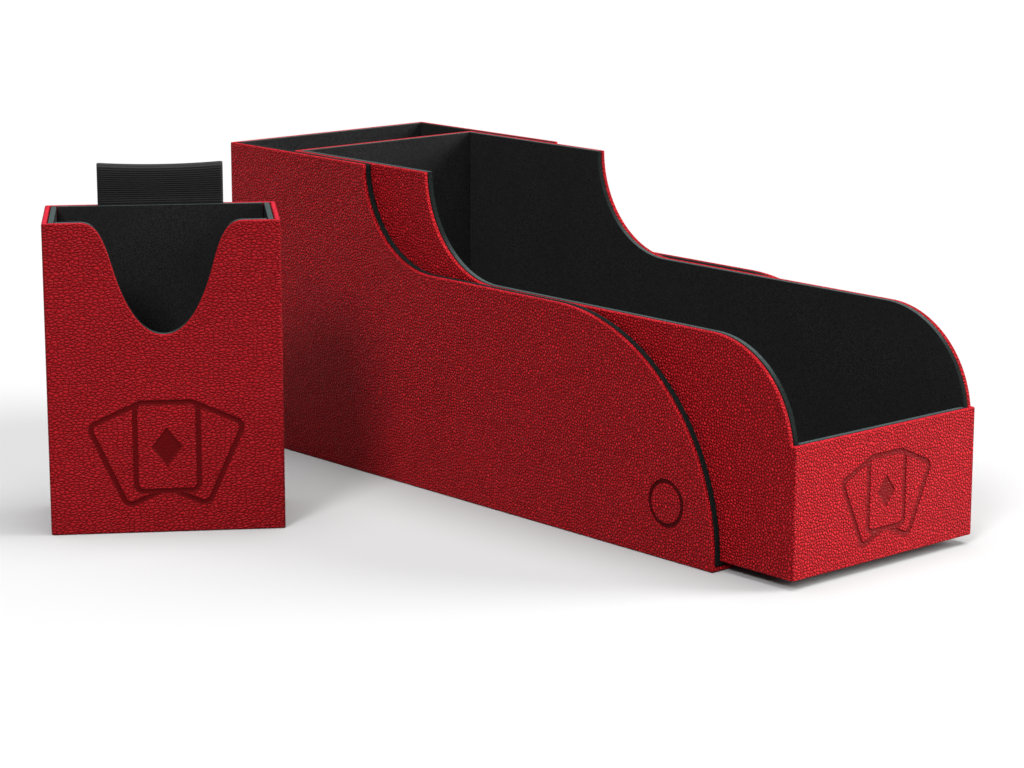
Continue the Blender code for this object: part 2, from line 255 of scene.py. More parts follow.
def sheet_place(look, stretch):
    """Places along the sheet that covers a board: its two axes in metres, whichever way the face looks."""
    facing = look.facing()
    axes = look.node("ShaderNodeSeparateXYZ", {0: look.place}).outputs
    sideways = look.math("GREATER_THAN", look.math("ABSOLUTE", facing["X"]), 0.7)
    upwards = look.math("GREATER_THAN", look.math("ABSOLUTE", facing["Z"]), 0.7)
    along = look.blend_number(sideways, axes["X"], axes["Y"])
    up = look.blend_number(upwards, axes["Z"], axes["Y"])
    place = look.node("ShaderNodeCombineXYZ", {0: along, 1: up, 2: 0.0}).outputs[0]
    return look.scaled(place, (*stretch, 1.0))


def shaded(colour, share):
    """The same colour, lighter or darker, as a socket value."""
    return (*(share * value for value in colour), 1)


def sheet_fields(look, pebble, stretch):
    """What the leatherette's colour and relief go by at each point, as sockets."""
    place = sheet_place(look, stretch)
    grain_place = look.warped(place, 0.6 / pebble, 0.8 * pebble)
    grain_place = look.warped(grain_place, 2.2 / pebble, 0.22 * pebble)
    inputs = {"Vector": grain_place, "Scale": 1 / pebble}
    flat = {"voronoi_dimensions": "2D"}
    border = look.node("ShaderNodeTexVoronoi", inputs, feature="DISTANCE_TO_EDGE", **flat).outputs[0]
    grain = look.node("ShaderNodeTexVoronoi", inputs, feature="F1", **flat).outputs
    bulge = look.math("MULTIPLY", grain["Distance"], 0.5)
    facing = look.facing()
    return {
        "place": place,
        "tone": look.node("ShaderNodeSeparateColor", {0: grain["Color"]}).outputs[0],
        "dome": look.math("SUBTRACT", look.step(border, 0.0, 0.40), bulge),
        "crease": look.step(border, 0.0, 0.18, 1.0, 0.0),
        "wrinkle": look.noise(look.warped(place, 0.8 / pebble, pebble), 1.6 / pebble, 3.0, 0.55),
        "upwards": facing["Z"],
        "along_y": look.math("ABSOLUTE", facing["Y"]),
        "edge": look.attribute("wrapped_edge"),
        "pressed": look.attribute("pressed"),
        "scorched": look.attribute("scorched"),
    }


def sheet_colour(look, fields, shade, crease_shade, rim_highlight):
    """The dye, paler with wear on wrapped edges and darker in patches and pressed lines, and painted light:
    a painted sheen on the raised wrinkles, painted shade in the creases, a painted highlight on the rims.
    """
    dye_dark = shaded((0.225, 0.0052, 0.0078), shade)
    dye_light = shaded((0.275, 0.0066, 0.0098), shade)
    # Paler red: wear on the wrapped edges, and a painted sheen on the raised wrinkles.
    wear_and_sheen = shaded((0.350, 0.0105, 0.0155), shade)
    deep = shaded((0.190, 0.0044, 0.0066), shade)
    shadowed = shaded((0.024, 0.0006, 0.0008), shade)
    burnt = shaded((0.076, 0.0020, 0.0024), shade)
    charred = shaded((0.0135, 0.0006, 0.0008), shade)
    painted_rim_highlight = (0.470, 0.0120, 0.0330, 1)
    patches = look.noise(look.place, 34.0, 2.0)
    colour = look.mix(fields["tone"], dye_dark, dye_light)
    # Paler on the raised wrinkles: partly wear, partly a painted sheen on the grain's tops.
    colour = look.mix(look.step(fields["wrinkle"], 0.42, 0.66, 0.0, 0.50), colour, wear_and_sheen)
    colour = look.mix(look.step(patches, 0.35, 0.65, 0.0, 0.18), colour, deep)
    # Painted shade in the creases between the grains.
    colour = look.mix(look.math("MULTIPLY", fields["crease"], crease_shade), colour, shadowed)
    # Paler wear on the rounded wrapped edges.
    colour = look.mix(look.math("MULTIPLY", fields["edge"], 0.20), colour, wear_and_sheen)
    # Painted highlight on the flat rims that look up, as if lit from above.
    colour = look.mix(look.step(fields["upwards"], 0.965, 0.995, 0.0, rim_highlight), colour, painted_rim_highlight)
    colour = look.mix(look.step(fields["pressed"], 0.05, 0.34, 0.0, 0.95), colour, burnt)
    return look.mix(look.step(fields["scorched"], 0.05, 0.60, 0.0, 0.76), colour, charred)


def sheet_relief(look, fields, pebble, height):
    """The grain's relief, calmer in pressed lines, on wrapped edges and on a piece's front and back."""
    calm = look.math("SUBTRACT", 1.0, look.math("MULTIPLY", fields["pressed"], 0.75))
    on_edge = look.math("SUBTRACT", 1.0, look.math("MULTIPLY", fields["edge"], 0.45))
    calm = look.math("MULTIPLY", calm, on_edge)
    calm = look.math("MULTIPLY", calm, look.step(fields["along_y"], 0.90, 0.98, 1.0, RELIEF_ALONG_Y))
    relief = look.math("ADD", fields["dome"], look.math("MULTIPLY", fields["wrinkle"], 0.55))
    normal = look.bump(look.math("MULTIPLY", relief, calm), height)
    return look.bump(look.noise(fields["place"], 7.0 / pebble, 2.0), 0.02 * MM, 0.6, normal)


def leatherette(name, pebble, stretch, height, shade, crease_shade, rim_highlight):
    """Red pebbled leatherette.

    pebble is a grain's width, and stretch flattens the grains along the sheet's axes. height is how far the
    grains stand up, and shade lightens or darkens the dye. The next argument sets how dark the painted shade
    in the creases is, and the last how far a painted highlight brightens the flat rims on top of the boards.
    """
    look = Look(name)
    fields = sheet_fields(look, pebble, stretch)
    roughness = look.step(fields["wrinkle"], 0.3, 0.7, 0.34, 0.46)
    roughness = look.math("ADD", roughness, look.math("MULTIPLY", fields["crease"], 0.25))
    look.set(Specular_IOR_Level=0.06, Specular_Tint=(1.0, 0.40, 0.42, 1))
    colour = sheet_colour(look, fields, shade, crease_shade, rim_highlight)
    normal = sheet_relief(look, fields, pebble, height)
    return look.set(Base_Color=colour, Roughness=roughness, Normal=normal)


def liner(name, across, top_light):
    """Black suede-finished board. Faces square to across are suede, and the others are the cut edge.

    The cut edge is dark where it curves down. Where it looks up it is painted paler, a painted highlight of
    the light from above, as much as the last argument says.
    """
    look = Look(name)
    upwards = look.facing()["Z"]
    normal = look.node("ShaderNodeTexCoord").outputs["Normal"]
    dot = look.node("ShaderNodeVectorMath", {0: normal, 1: across}, operation="DOT_PRODUCT")
    cut = look.step(look.math("ABSOLUTE", dot.outputs["Value"]), 0.55, 0.9, 1.0, 0.0)
    nap = look.noise(look.place, 4200.0, 2.0, 0.7)
    cloud = look.noise(look.place, 48.0, 3.0)
    fibre = look.noise(look.warped(look.place, 400.0, 1.0 * MM), 900.0, 2.0)
    layers = look.noise(look.place, 1500.0, 2.0)

    suede = look.mix(look.step(nap, 0.38, 0.62), (0.0018, 0.0018, 0.0019, 1), (0.0170, 0.0171, 0.0173, 1))
    suede = look.mix(look.step(cloud, 0.35, 0.7, 0.0, 0.35), suede, (0.0076, 0.0077, 0.0078, 1))
    suede = look.mix(look.step(fibre, 0.55, 0.75, 0.0, 0.3), suede, (0.012, 0.0122, 0.0122, 1))
    core = look.mix(look.step(layers, 0.3, 0.7), (0.0028, 0.0046, 0.0042, 1), (0.0062, 0.0088, 0.0082, 1))
    painted_top_light = look.mix(look.step(layers, 0.3, 0.7), (0.019, 0.027, 0.027, 1), (0.033, 0.042, 0.042, 1))
    # Painted highlight: the cut edge is paler where it looks up, as if lit from above.
    core = look.mix(look.step(upwards, 0.55, 1.0, 0.0, top_light), core, painted_top_light)
    colour = look.mix(cut, suede, core)
    normal = look.bump(look.math("ADD", nap, fibre), 0.05 * MM, 0.7)
    roughness = look.step(cloud, 0.3, 0.7, 0.82, 0.92)
    look.set(Sheen_Weight=0.0, Specular_IOR_Level=0.03)
    return look.set(Base_Color=colour, Roughness=roughness, Normal=normal)


def elastic():
    """Black woven elastic: fine yarns across the real ribs, painted shade between them and a slight sheen."""
    look = Look("black_elastic_weave")
    yarn_place = look.warped(look.place, 900.0, 0.25 * MM)
    yarns = look.node(
        "ShaderNodeTexWave",
        {"Vector": yarn_place, "Scale": 1100.0, "Distortion": 1.2, "Detail": 2.0},
        wave_type="BANDS",
        bands_direction="X",
    ).outputs["Fac"]
    fuzz = look.noise(look.place, 2400.0, 2.0, 0.7)
    valley = look.attribute("rib_valley")
    colour = look.mix(yarns, (0.0040, 0.0040, 0.0041, 1), (0.0082, 0.0082, 0.0083, 1))
    colour = look.mix(look.step(fuzz, 0.45, 0.75, 0.0, 0.4), colour, (0.0140, 0.0140, 0.0142, 1))
    # Painted shade in the valleys between the ribs.
    colour = look.mix(look.math("MULTIPLY", valley, 0.95), colour, (0.0006, 0.0006, 0.0006, 1))
    normal = look.bump(yarns, 0.06 * MM, 0.7)
    normal = look.bump(fuzz, 0.03 * MM, 0.5, normal)
    roughness = look.step(fuzz, 0.3, 0.7, 0.62, 0.8)
    look.set(Sheen_Weight=0.04, Sheen_Roughness=0.5, Specular_IOR_Level=0.16)
    return look.set(Base_Color=colour, Roughness=roughness, Normal=normal)


def nickel():
    """Plated disc magnets: satin nickel with faint tumbling marks and dull patches."""
    look = Look("nickel_plating_satin")
    marks = look.noise(look.scaled(look.place, (1.0, 6.0, 1.0)), 900.0, 4.0, 0.7)
    patches = look.noise(look.place, 260.0, 2.0)
    colour = look.mix(look.step(patches, 0.35, 0.7), (0.60, 0.57, 0.52, 1), (0.72, 0.70, 0.66, 1))
    colour = look.mix(look.step(marks, 0.55, 0.75, 0.0, 0.3), colour, (0.42, 0.40, 0.37, 1))
    roughness = look.step(marks, 0.3, 0.7, 0.18, 0.36)
    normal = look.bump(marks, 0.02 * MM, 0.4)
    return look.set(Base_Color=colour, Metallic=1.0, Roughness=roughness, Normal=normal)


def floor_paper():
    """Pale matt studio paper."""
    look = Look("studio_paper")
    tone = look.noise(look.place, 3.0, 2.0)
    colour = look.mix(tone, (0.268, 0.268, 0.269, 1), (0.276, 0.276, 0.277, 1))
    normal = look.bump(look.noise(look.place, 700.0, 2.0), 0.02 * MM, 0.2)
    return look.set(Base_Color=colour, Roughness=0.95, Normal=normal, Specular_IOR_Level=0.1)


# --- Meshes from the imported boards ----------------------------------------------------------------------


def copy_of(name, to_local):
    """The node's mesh in local axes, with its split points joined and its points on a fine grid."""
    bm = bmesh.new()
    bm.from_mesh(frame["nodes"][name].data)
    bmesh.ops.remove_doubles(bm, verts=bm.verts, dist=WELD)
    bmesh.ops.transform(bm, matrix=to_local, verts=bm.verts)
    for vert in bm.verts:
        vert.co = [round(value, GRID_DIGITS) for value in vert.co]
    return bm


def span(bm):
    """Lowest and highest corner of a mesh."""
    low = Vector([min(v.co[i] for v in bm.verts) for i in range(3)])
    high = Vector([max(v.co[i] for v in bm.verts) for i in range(3)])
    return low, high


def node_span(name, to_local=Matrix.Identity(4)):
    bm = copy_of(name, to_local)
    found = span(bm)
    bm.free()
    return found


def grow(bm, sides):
    """Moves the ends named in sides, such as '-x +y', outwards, so that a board enters its neighbours."""
    low, high = span(bm)
    for side in sides.split():
        axis = "xyz".index(side[1])
        sign = -1 if side[0] == "-" else 1
        end = low[axis] if sign < 0 else high[axis]
        for vert in bm.verts:
            if abs(vert.co[axis] - end) < IN_PLANE:
                vert.co[axis] += sign * REACH


def rebuild_side(bm):
    """Rebuilds a side board from its flat inner face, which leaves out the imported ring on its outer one."""
    low, high = span(bm)
    inner, outer = sorted((low.x, high.x), key=abs)
    away = [f for f in bm.faces if any(abs(v.co.x - inner) > IN_PLANE for v in f.verts)]
    bmesh.ops.delete(bm, geom=away, context="FACES")
    bmesh.ops.dissolve_limit(bm, angle_limit=FLAT, verts=bm.verts, edges=bm.edges)
    grown = bmesh.ops.extrude_face_region(bm, geom=bm.faces[:])
    for vert in grown["geom"]:
        if isinstance(vert, bmesh.types.BMVert):
            vert.co.x = outer
    bmesh.ops.recalc_face_normals(bm, faces=bm.faces)


def block(low, high):
    """A closed block between two corners."""
    bm = bmesh.new()
    bmesh.ops.create_cube(bm, size=1.0)
    size = [b - a for a, b in zip(low, high)]
    middle = [(a + b) / 2 for a, b in zip(low, high)]
    bmesh.ops.scale(bm, vec=size, verts=bm.verts)
    bmesh.ops.translate(bm, vec=middle, verts=bm.verts)
    return bm


def as_object(name, bm):
    mesh = bpy.data.meshes.new(name)
    bm.to_mesh(mesh)
    bm.free()
    obj = bpy.data.objects.new(name, mesh)
    bpy.context.scene.collection.objects.link(obj)
    return obj


def baked(obj):
    """Replaces an object's mesh by its evaluated one, and drops its modifiers."""
    graph = bpy.context.evaluated_depsgraph_get()
    mesh = bpy.data.meshes.new_from_object(obj.evaluated_get(graph))
    obj.modifiers.clear()
    obj.data = mesh


def union(name, boards):
    """One closed mesh from overlapping boards."""
    base = as_object(name, boards[0])
    others = [as_object(name + "_board", bm) for bm in boards[1:]]
    for other in others:
        modifier = base.modifiers.new("join", "BOOLEAN")
        modifier.operation = "UNION"
        modifier.solver = "EXACT"
        modifier.object = other
    baked(base)
    for other in others:
        bpy.data.objects.remove(other, do_unlink=True)
    return base


def sharp_edges(bm, limit):
    return [e for e in bm.edges if len(e.link_faces) == 2 and e.calc_face_angle() > limit]


def is_corner(edge, corners):
    """Whether an edge is upright, long, and at one of the corners' x and y."""
    a, b = (vert.co for vert in edge.verts)
    upright = hypot(a.x - b.x, a.y - b.y) < IN_PLANE and abs(a.z - b.z) > CORNER_LENGTH
    return upright and any(hypot(a.x - x, a.y - y) < AT_CORNER for x, y in corners)


def soften(obj, corners):
    """Rounds the wrapped edges: the upright outer corners at these x and y more than the rest."""
    bm = bmesh.new()
    bm.from_mesh(obj.data)
    bmesh.ops.remove_doubles(bm, verts=bm.verts, dist=WELD)
    for _ in range(2):
        bmesh.ops.dissolve_limit(bm, angle_limit=FLAT, verts=bm.verts, edges=bm.edges)
    upright = [e for e in sharp_edges(bm, UPRIGHT_SHARP) if is_corner(e, corners)]
    how = {"profile": 0.5, "affect": "EDGES"}
    bmesh.ops.bevel(bm, geom=upright, offset=CORNER, segments=CORNER_STEPS, **how)
    rest = sharp_edges(bm, SHARP)
    made = bmesh.ops.bevel(bm, geom=rest, offset=EDGE, segments=EDGE_STEPS, clamp_overlap=False, **how)
    mark_edges(bm, set(made["faces"]))
    bm.to_mesh(obj.data)
    bm.free()


def mark_edges(bm, rounded):
    """Gives the points inside a rounded edge the value 1 in wrapped_edge, and 0 to the rest."""
    layer = bm.verts.layers.float.new("wrapped_edge")
    for vert in bm.verts:
        vert[layer] = 1.0 if all(face in rounded for face in vert.link_faces) else 0.0


def finish_normals(obj):
    for polygon in obj.data.polygons:
        polygon.use_smooth = True
    modifier = obj.modifiers.new("flat faces stay flat", "WEIGHTED_NORMAL")
    modifier.weight = LARGEST_FACE
    modifier.keep_sharp = True


def wrap(name, body, boards, corners, place=Matrix.Identity(4), blocks=()):
    """A red wrap: the boards it stands for, and plain blocks where it covers no board, as one piece.

    boards gives each node's ends that grow into their neighbours, or None for a side board to rebuild.
    corners are the x and y of the upright corners, along the axes of place, as the blocks' corners are.
    """
    to_local = place.inverted()
    meshes = []
    for node, ends in boards.items():
        bm = copy_of(node, to_local)
        if ends is None:
            rebuild_side(bm)
        else:
            grow(bm, ends)
        meshes.append(bm)
    meshes += [block(low, high) for low, high in blocks]
    obj = union(name, meshes)
    soften(obj, corners)
    obj.matrix_world = place
    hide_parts(*boards)
    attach(obj, body)
    return obj


# --- Pressed lines --------------------------------------------------------------------------------------


def ease(value):
    value = min(1.0, max(0.0, value))
    return value * value * (3 - 2 * value)


def cut_across(bm, face, axis, value):
    """Cuts a flat face by the plane where this axis has this value, and returns the faces it leaves."""
    normal = Vector([1.0 if i == axis else 0.0 for i in range(3)])
    geom = [face] + face.edges[:] + face.verts[:]
    place = normal * value
    made = bmesh.ops.bisect_plane(bm, geom=geom, dist=CUT_TOLERANCE, plane_co=place, plane_no=normal)
    return [g for g in made["geom"] if isinstance(g, bmesh.types.BMFace)]


def outermost_face(bm, normal):
    """The largest of the flat faces that look along normal and lie furthest out, and how far."""
    found = [f for f in bm.faces if f.normal.dot(normal) > SAME_WAY]
    furthest = max(f.calc_center_median().dot(normal) for f in found)
    near = [f for f in found if f.calc_center_median().dot(normal) > furthest - IN_PLANE]
    return max(near, key=lambda f: f.calc_area()), furthest


def cut_window(bm, face, axes, window):
    """Cuts a flat face round a window, and returns the window's own face."""
    for axis, (low, high) in zip(axes, window):
        for value, side in ((low, 1), (high, -1)):
            pieces = cut_across(bm, face, axis, value)
            pieces = [f for f in pieces if side * (f.calc_center_median()[axis] - value) > 0]
            face = max(pieces, key=lambda f: f.calc_area())
    return face


def press(obj, normal, window, distance, depth, pitch=PRESS_PITCH, scorch=0.0):
    """Presses lines into the outermost flat face that looks along normal.

    window is ((low, high), (low, high)) along the face's two axes, X or Y and then Z. distance(u, v) is the
    signed distance to the lines. The window becomes a grid of this pitch, and the values go into pressed.
    scorch, from 0 to 1, says how much darker than an emblem's the lines are, and goes into scorched.
    """
    normal = Vector(normal)
    axes = (1, 2) if normal.x else (0, 2)
    bm = bmesh.new()
    bm.from_mesh(obj.data)
    face, furthest = outermost_face(bm, normal)
    face = cut_window(bm, face, axes, window)
    cuts = ceil(max(high - low for low, high in window) / pitch)
    bmesh.ops.subdivide_edges(bm, edges=face.edges[:], cuts=cuts, use_grid_fill=True)
    floats = bm.verts.layers.float
    for layer_name in ("pressed", "scorched"):
        if floats.get(layer_name) is None:
            floats.new(layer_name)
    pressed = floats.get("pressed")
    scorched = floats.get("scorched")
    for vert in bm.verts:
        place = [vert.co[axis] for axis in axes]
        in_window = all(low < value < high for value, (low, high) in zip(place, window))
        if in_window and abs(vert.co.dot(normal) - furthest) < IN_PLANE:
            share = 1 - ease(distance(*place) / (2 * PRESS_SLOPE) + 0.5)
            vert[pressed] = share
            vert[scorched] = share * scorch
            vert.co -= normal * depth * share
    bm.to_mesh(obj.data)
    bm.free()


def ring_line(centre, radius):
    """Signed distance to a ring's line, whose outer edge has this radius."""

    def distance(u, v):
        return abs(hypot(u - centre[0], v - centre[1]) - radius + RING_LINE / 2) - RING_LINE / 2

    return distance


def rounded_card(u, v, half_width, half_height, radius):
    """Signed distance to a card with round corners, its middle at the origin."""
    du = abs(u) - half_width + radius
    dv = abs(v) - half_height + radius
    return hypot(max(du, 0.0), max(dv, 0.0)) + min(max(du, dv), 0.0) - radius


def turned(u, v, angle):
    return u * cos(angle) + v * sin(angle), v * cos(angle) - u * sin(angle)


def card_fan(centre, height):
    """Signed distance to a plain fan of three card outlines, the middle one in front with a diamond."""
    half_width = 0.32 * height
    half_height = 0.46 * height
    radius = 0.08 * height
    pivot = -0.75 * height
    diamond_size = 0.12 * height

    def card(u, v, angle):
        u, v = turned(u, v - pivot, angle)
        return rounded_card(u, v + pivot, half_width, half_height, radius)

    def outline(value):
        return abs(value) - EMBLEM_LINE / 2

    def distance(u, v):
        u -= centre[0]
        v -= centre[1]
        front = card(u, v, 0.0)
        behind = min(card(u, v, FAN_TILT), card(u, v, -FAN_TILT))
        hidden = EMBLEM_LINE / 2 - front
        lines = min(outline(front), max(outline(behind), hidden))
        diamond = (abs(u) * DIAMOND_SLOPE + abs(v)) / hypot(1, DIAMOND_SLOPE) - diamond_size
        return min(lines, diamond)

    return distance


def window_of(centre, half_u, half_v):
    return ((centre[0] - half_u, centre[0] + half_u), (centre[1] - half_v, centre[1] + half_v))


# --- Box ------------------------------------------------------------------------------------------------


def build_shell(red):
    """Back and lower half, wrapped round its corners, with a ring pressed into each side."""
    low, high = node_span("shell_side_left")
    outer_x = -low.x
    boards = {
        "shell_side_left": None,
        "shell_side_right": None,
        "shell_back": "-x +x",
        "shell_bottom": "-x +x +y",
    }
    corners = [(-outer_x, high.y), (outer_x, high.y)]
    shell = wrap("shell_wrap", BOX_BODY, boards, corners)
    magnet_low, magnet_high = node_span("magnet_left")
    centre = ((magnet_low.y + magnet_high.y) / 2, (magnet_low.z + magnet_high.z) / 2)
    radius = (magnet_high.z - magnet_low.z) / 2 + RING_PAST_MAGNET
    window = window_of(centre, radius + RING_MARGIN, radius + RING_MARGIN)
    line = ring_line(centre, radius)
    for side in (-1, 1):
        press(shell, (side, 0, 0), window, line, RING_DEPTH, RING_PITCH, scorch=1.0)
    shell.data.materials.append(red)
    finish_normals(shell)


def build_trough(red):
    """The card trough, with its front panel run round the corners into the sides."""
    panel_low, panel_high = node_span("trough_front")
    side_low, side_high = node_span("trough_side_left")
    thickness = side_high.x - side_low.x
    boards = {
        "trough_side_left": None,
        "trough_side_right": None,
        "trough_front": "",
        "trough_back": "-x +x",
        "trough_floor": "-x +x -y +y",
    }
    outer_x = panel_high.x
    posts = []
    for side in (-1, 1):
        near, far = sorted((side * outer_x, side * (outer_x - thickness)))
        post_low = (near, panel_low.y, panel_low.z)
        post_high = (far, side_low.y + 2 * REACH, panel_high.z)
        posts.append((post_low, post_high))
    corners = [(x, y) for x in (-outer_x, outer_x) for y in (panel_low.y, side_high.y)]
    trough = wrap("trough_wrap", BOX_BODY, boards, corners, blocks=posts)
    emblem = (0.0, (panel_low.z + panel_high.z) / 2 + PANEL_EMBLEM_RISE)
    window = window_of(emblem, *PANEL_WINDOW)
    press(trough, (0, -1, 0), window, card_fan(emblem, PANEL_EMBLEM_HEIGHT), EMBLEM_DEPTH)
    trough.data.materials.append(red)
    finish_normals(trough)


# --- Tray -----------------------------------------------------------------------------------------------


def loop_joint():
    return next(joint for joint in frame["joints"] if joint["name"] == "loop_bend")


def tray_place():
    """The tray's own axes: X along its front, -Y out of its front, the origin at the foot of its front."""
    axis = loop_joint()["axis"]
    turn = Matrix.Rotation(atan2(axis[1], axis[0]), 4, "Z")
    low, high = node_span("tray_front", turn.inverted())
    origin = turn @ Vector(((low.x + high.x) / 2, low.y, low.z))
    return Matrix.Translation(origin) @ turn


def build_tray(red, place):
    low, high = node_span("tray_front", place.inverted())
    rear = node_span("tray_back", place.inverted())[1].y
    boards = {
        "tray_front": "",
        "tray_back": "",
        "tray_side_left": "-y +y",
        "tray_side_right": "-y +y",
        "tray_bottom": "-x +x -y +y",
    }
    corners = [(x, y) for x in (low.x, high.x) for y in (low.y, rear)]
    tray = wrap("tray_wrap", TRAY_BODY, boards, corners, place)
    emblem = (0.0, TRAY_EMBLEM_Z)
    window = window_of(emblem, *TRAY_WINDOW)
    press(tray, (0, -1, 0), window, card_fan(emblem, TRAY_EMBLEM_HEIGHT), EMBLEM_DEPTH)
    tray.data.materials.append(red)
    finish_normals(tray)


# --- Liners and magnets ---------------------------------------------------------------------------------


def soften_node(name, look, width):
    """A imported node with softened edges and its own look."""
    obj = frame["nodes"][name]
    obj.data.materials.clear()
    obj.data.materials.append(look)
    weld = obj.modifiers.new("weld", "WELD")
    weld.merge_threshold = WELD
    bevel = obj.modifiers.new("soft edges", "BEVEL")
    bevel.width = width
    bevel.segments = 2
    bevel.limit_method = "ANGLE"
    bevel.angle_limit = SHARP
    bevel.use_clamp_overlap = False
    normals = obj.modifiers.new("flat faces stay flat", "WEIGHTED_NORMAL")
    normals.weight = LARGEST_FACE
    for polygon in obj.data.polygons:
        polygon.use_smooth = True


def dress_liners(place):
    """Every liner board, with the cut edge on the faces that aren't square to its thickness."""
    shell_x = liner("black_liner_shell_x", (1, 0, 0), SHELL_TOP_LIGHT)
    trough_x = liner("black_liner_trough_x", (1, 0, 0), EDGE_TOP_LIGHT)
    along_y = liner("black_liner_y", (0, 1, 0), EDGE_TOP_LIGHT)
    along_z = liner("black_liner_z", (0, 0, 1), EDGE_TOP_LIGHT)
    tray_x = liner("black_liner_tray_x", place.col[0].to_3d(), EDGE_TOP_LIGHT)
    tray_y = liner("black_liner_tray_y", place.col[1].to_3d(), EDGE_TOP_LIGHT)
    looks = {
        "shell_liner_left": shell_x,
        "shell_liner_right": shell_x,
        "trough_liner_left": trough_x,
        "trough_liner_right": trough_x,
        "shell_back_liner": along_y,
        "trough_back_liner": along_y,
        "trough_front_liner": along_y,
        "shell_bottom_liner": along_z,
        "trough_floor_liner": along_z,
        "tray_bottom_liner": along_z,
        "tray_liner_left": tray_x,
        "tray_liner_right": tray_x,
        "tray_front_liner": tray_y,
        "tray_back_liner": tray_y,
    }
    for name, look in looks.items():
        soften_node(name, look, LINER_EDGE)


def dress_magnets():
    look = nickel()
    for name in ("magnet_left", "magnet_right"):
        soften_node(name, look, MAGNET_EDGE)


# --- Elastic loop ---------------------------------------------------------------------------------------


def loop_route(tip, top, neck, foot):
    """The ribbon's middle line, as (y, z): up its front layer, round the top and down its back layer.

    tip is the middle line's radius at the top, top its highest point, neck where the two layers part and
    foot the low end of the glued tails.
    """
    half = (RIBBON + LAYER_GAP) / 2
    crown = top - tip
    front = [(-half, foot + (neck - foot) * i / TAIL_STEPS) for i in range(TAIL_STEPS + 1)]
    for i in range(1, FLARE_STEPS + 1):
        rise = i / FLARE_STEPS
        spread = half + (tip - half) * ease(rise) ** FLARE_POWER
        front.append((-spread, neck + (crown - neck) * rise))
    angles = [pi - pi * i / CROWN_STEPS for i in range(1, CROWN_STEPS)]
    over = [(tip * cos(angle), crown + tip * sin(angle)) for angle in angles]
    back = [(-y, z) for y, z in reversed(front)]
    return front + over + back


def spaced(points, pitch):
    """The same route as evenly spaced points, each with its unit side vector."""
    lengths = [0.0]
    for a, b in zip(points, points[1:]):
        lengths.append(lengths[-1] + hypot(b[0] - a[0], b[1] - a[1]))
    count = round(lengths[-1] / pitch)
    found = []
    index = 0
    for i in range(count + 1):
        wanted = lengths[-1] * i / count
        while index < len(points) - 2 and lengths[index + 1] < wanted:
            index += 1
        share = (wanted - lengths[index]) / (lengths[index + 1] - lengths[index])
        a, b = points[index], points[index + 1]
        found.append((a[0] + (b[0] - a[0]) * share, a[1] + (b[1] - a[1]) * share))
    sides = []
    for i in range(len(found)):
        a = found[max(0, i - 1)]
        b = found[min(len(found) - 1, i + 1)]
        length = hypot(b[0] - a[0], b[1] - a[1])
        sides.append((-(b[1] - a[1]) / length, (b[0] - a[0]) / length))
    return list(zip(found, sides))


def ribbon_rows(bm, route, middle, half_width, hinge_z, top, outer):
    """Rows of points across one face of the ribbon: the ribbed outer one, or the plain inner one."""
    valley = bm.verts.layers.float["rib_valley"]
    rows = []
    for i, ((y, z), (side_y, side_z)) in enumerate(route):
        rib = 0.5 + 0.5 * cos(2 * pi * i / POINTS_PER_RIB)
        half = RIBBON / 2 - VALLEY_DEPTH
        if outer:
            half += RIB_HEIGHT * rib**RIB_POWER * ease((z - hinge_z + RIB_FADE) / RIB_FADE)
        sag = TOP_SAG * ease((z - hinge_z) / (top - hinge_z))
        row = []
        for k in range(STEPS_ACROSS + 1):
            across = 2 * k / STEPS_ACROSS - 1
            thinned = SELVEDGE_THINNING * ease((abs(across) - 1 + SELVEDGE) / SELVEDGE)
            push = (half if outer else -half) * (1 - thinned)
            place = (
                middle.x + across * half_width,
                middle.y + y + side_y * push,
                z + side_z * push - sag * (1 - across * across),
            )
            vert = bm.verts.new(place)
            # How deep in a valley between ribs a point lies: the elastic's look paints shade there.
            vert[valley] = (1 - rib) * (1.0 if outer else INNER_VALLEY)
            row.append(vert)
        rows.append(row)
    return rows


def skin_ribbon(bm, outer, inner):
    """Faces over the ribbon's two faces, its two selvedges and its two ends."""
    end = len(outer) - 1
    for i in range(end):
        for k in range(STEPS_ACROSS):
            bm.faces.new((outer[i][k], outer[i][k + 1], outer[i + 1][k + 1], outer[i + 1][k]))
            bm.faces.new((inner[i][k], inner[i + 1][k], inner[i + 1][k + 1], inner[i][k + 1]))
        for k in (0, STEPS_ACROSS):
            bm.faces.new((outer[i][k], outer[i + 1][k], inner[i + 1][k], inner[i][k]))
    for i in (0, end):
        for k in range(STEPS_ACROSS):
            bm.faces.new((outer[i][k], outer[i][k + 1], inner[i][k + 1], inner[i][k]))
    bmesh.ops.recalc_face_normals(bm, faces=bm.faces)
    for face in bm.faces:
        face.smooth = True


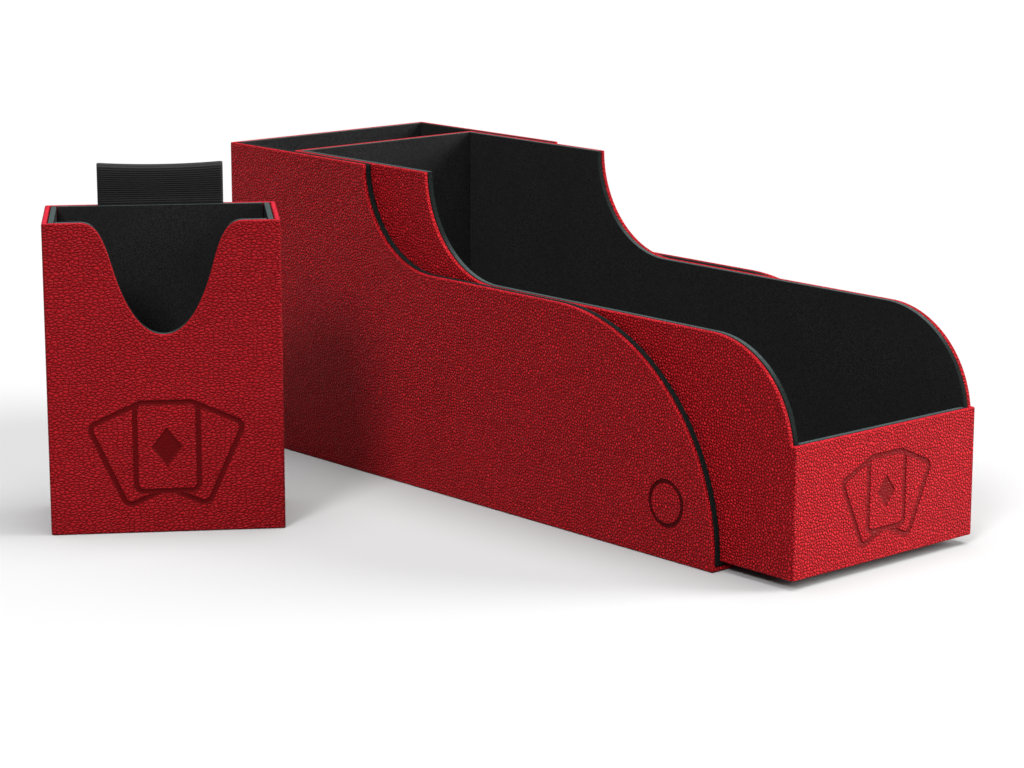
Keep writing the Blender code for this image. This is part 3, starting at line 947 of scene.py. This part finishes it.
def build_loop(place):
    """One ribbon with woven ribs across it, folded in two and glued behind the tray's back board."""
    local = place.inverted()
    loop_low, loop_high = node_span("pull_loop", local)
    tail_low, tail_high = node_span("pull_loop_tail", local)
    hinge = local @ Vector(loop_joint()["pos_m"])
    tip = (loop_high.y - loop_low.y - RIBBON) / 2 - RIB_HEIGHT / 2
    top = loop_high.z - RIBBON / 2 - RIB_HEIGHT
    middle = Vector(((loop_high.x + loop_low.x) / 2, (tail_low.y + tail_high.y) / 2))
    half_width = (loop_high.x - loop_low.x) / 2
    route = spaced(loop_route(tip, top, hinge.z + NECK_RISE, tail_low.z), RIB_PITCH / POINTS_PER_RIB)

    bm = bmesh.new()
    bm.verts.layers.float.new("rib_valley")
    outer = ribbon_rows(bm, route, middle, half_width, hinge.z, top, outer=True)
    inner = ribbon_rows(bm, route, middle, half_width, hinge.z, top, outer=False)
    skin_ribbon(bm, outer, inner)
    obj = as_object("elastic_loop", bm)
    obj.data.materials.append(elastic())
    obj.matrix_world = place
    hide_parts("pull_loop", "pull_loop_tail")
    start = place @ Vector((0, middle.y, hinge.z - BEND_BELOW))
    end = place @ Vector((0, middle.y, hinge.z + BEND_ABOVE))
    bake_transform(obj, TRAY_BODY, "pull_loop", start=start, end=end)


# --- Studio ---------------------------------------------------------------------------------------------


def build_floor():
    bm = bmesh.new()
    bmesh.ops.create_grid(bm, x_segments=FLOOR_STEPS, y_segments=FLOOR_STEPS, size=FLOOR_HALF)
    floor = as_object("studio_floor", bm)
    floor.location = (0, 0, cad_box[0].z - FLOOR_GAP)
    floor.data.materials.append(floor_paper())


def build_sky():
    world = bpy.data.worlds.new("studio")
    bpy.context.scene.world = world
    world.use_nodes = True
    background = world.node_tree.nodes["Background"]
    background.inputs["Color"].default_value = SKY_COLOUR
    background.inputs["Strength"].default_value = SKY_STRENGTH


def build_sun(name, azimuth, elevation, strength, softness, colour=WHITE):
    """A sun at this azimuth, from -Y towards +X, and elevation. softness is its width; all in degrees."""
    light = bpy.data.lights.new(name, "SUN")
    light.energy = strength
    light.angle = radians(softness)
    light.color = colour
    lamp = bpy.data.objects.new(name, light)
    bpy.context.scene.collection.objects.link(lamp)
    a, e = radians(azimuth), radians(elevation)
    towards = Vector((sin(a) * cos(e), -cos(a) * cos(e), sin(e)))
    lamp.rotation_euler = towards.to_track_quat("Z", "Y").to_euler()


def build_camera():
    data = bpy.data.cameras.new("camera")
    data.lens = CAMERA_LENS
    data.sensor_width = CAMERA_SENSOR
    data.clip_start = 0.01
    data.clip_end = 60.0
    camera = bpy.data.objects.new("camera", data)
    bpy.context.scene.collection.objects.link(camera)
    camera.location = CAMERA_PLACE
    camera.rotation_euler = [radians(angle) for angle in CAMERA_TURN]
    bpy.context.scene.camera = camera


# --- Build ----------------------------------------------------------------------------------------------

build_camera()
box_red = leatherette(
    "red_leatherette_box",
    pebble=1.08 * MM,
    stretch=(1.0, 1.05),
    height=0.62 * MM,
    shade=1.26,
    crease_shade=0.90,
    rim_highlight=0.50,
)
tray_red = leatherette(
    "red_leatherette_tray",
    pebble=1.20 * MM,
    stretch=(0.76, 1.25),
    height=0.42 * MM,
    shade=0.77,
    crease_shade=0.72,
    rim_highlight=0.55,
)
build_shell(box_red)
build_trough(box_red)
place_of_tray = tray_place()
build_tray(tray_red, place_of_tray)
dress_liners(place_of_tray)
dress_magnets()
build_loop(place_of_tray)
build_floor()
build_sky()
build_sun("overhead", azimuth=20, elevation=84, strength=6.0, softness=50)
build_sun("key", azimuth=52, elevation=22, strength=7.5, softness=30, colour=WARM_WHITE)
build_sun("left", azimuth=-64, elevation=41, strength=3.3, softness=15)

bpy.context.scene.view_settings.view_transform = "Standard"
bpy.context.view_layer.update()
